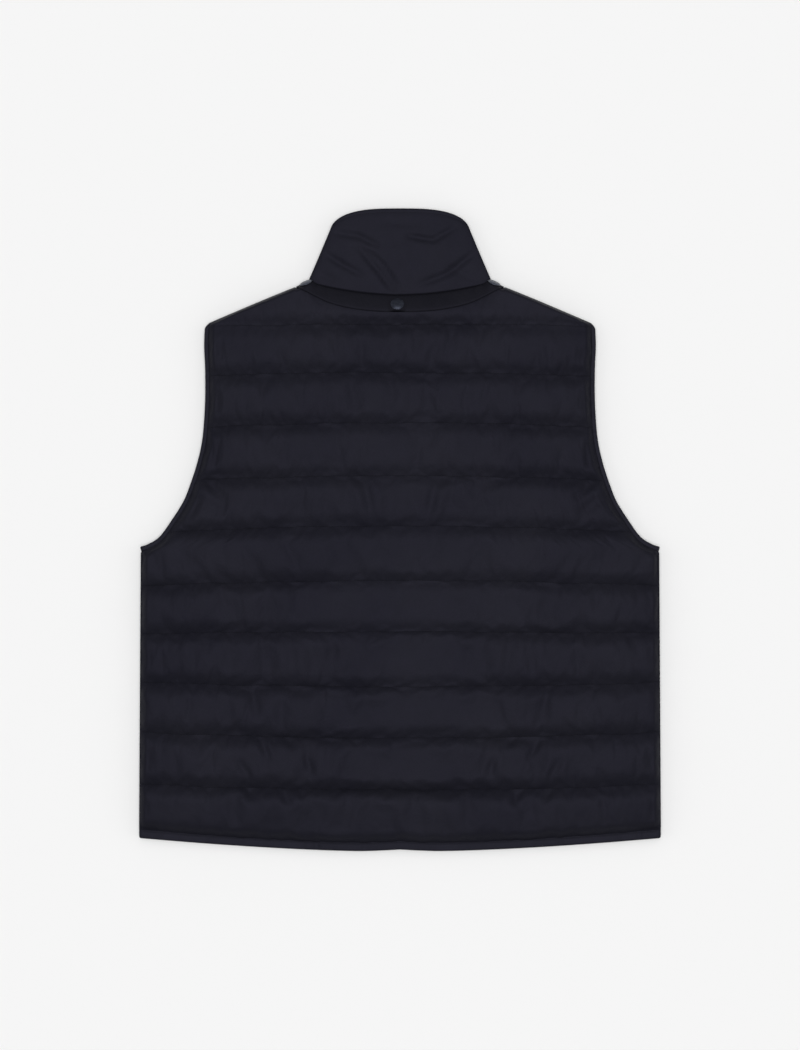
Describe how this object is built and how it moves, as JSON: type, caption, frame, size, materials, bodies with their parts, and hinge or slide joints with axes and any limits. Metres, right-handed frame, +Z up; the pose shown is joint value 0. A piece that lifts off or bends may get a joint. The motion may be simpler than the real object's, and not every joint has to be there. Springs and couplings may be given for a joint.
{
  "type": "quilted vest",
  "caption": "Sleeveless channel-quilted vest laid flat on its front, with bound armholes and hem, stand collar, neck strip with snap caps, and closed front zip with turning pull tab.",
  "frame": {"origin": "centre of the vest's outline on the surface that it lies on", "axes": "+X to the wearer's right, +Y from the hem to the collar, +Z up from the surface, out of the back"},
  "size_m": [0.5998, 0.7392, 0.0271],
  "materials": {
    "shell_fabric": "dark navy woven nylon, soft sheen",
    "binding_fabric": "dark navy folded nylon binding",
    "snap_metal": "gunmetal, polished",
    "zip_tape": "dark woven polyester tape",
    "zip_teeth": "dark moulded plastic, satin"
  },
  "bodies": {
    "vest": {"back_panel": "shell_fabric", "front_left": "shell_fabric", "front_right": "shell_fabric", "collar": "shell_fabric", "neck_strip": "binding_fabric", "snap_centre": "snap_metal", "snap_left": "snap_metal", "snap_right": "snap_metal", "armhole_binding_left": "binding_fabric", "armhole_binding_right": "binding_fabric", "hem_binding": "binding_fabric", "zip_tape_left": "zip_tape", "zip_tape_right": "zip_tape", "zip_chain": "zip_teeth", "zip_slider": "snap_metal"},
    "pull": {"zip_pull": "snap_metal"}
  },
  "joints": [
    {"name": "pull_turn", "type": "hinge", "parent": "vest", "child": "pull", "pos_m": [0, 0.2913, 0.0031], "axis": [1, 0, 0], "range_deg": [0, 170]}
  ]
}
